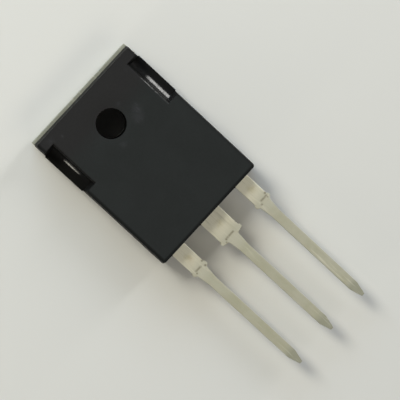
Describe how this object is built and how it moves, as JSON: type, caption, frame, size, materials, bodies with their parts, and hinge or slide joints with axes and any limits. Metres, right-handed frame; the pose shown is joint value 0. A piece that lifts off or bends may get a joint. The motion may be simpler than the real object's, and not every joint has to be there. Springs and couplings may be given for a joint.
{
  "type": "schottky diode",
  "caption": "Dual schottky diode in a flat moulded power package with a screw hole, a bare metal mounting face and a row of leads.",
  "frame": {"origin": "centre of the screw hole on the mounting (back) face", "axes": "+X across the package, +Y towards the tab end, +Z out of the front face; the leads point along -Y"},
  "size_m": [0.0162, 0.041, 0.005],
  "materials": {
    "epoxy_black": "fine matte moulded epoxy, black",
    "tinned_copper": "dull tin plating over copper, slightly yellowed",
    "silicon": "metallised silicon",
    "solder": "dull solder",
    "aluminium_wire": "drawn aluminium wire"
  },
  "bodies": {
    "root": {"case": "epoxy_black", "heat_spreader": "tinned_copper", "anode_lead_left": "tinned_copper", "anode_lead_right": "tinned_copper", "diode_die_left": "silicon", "die_solder_left": "solder", "bond_wire_left_inner": "aluminium_wire", "bond_wire_left_outer": "aluminium_wire", "diode_die_right": "silicon", "die_solder_right": "solder", "bond_wire_right_inner": "aluminium_wire", "bond_wire_right_outer": "aluminium_wire"}
  },
  "joints": []
}
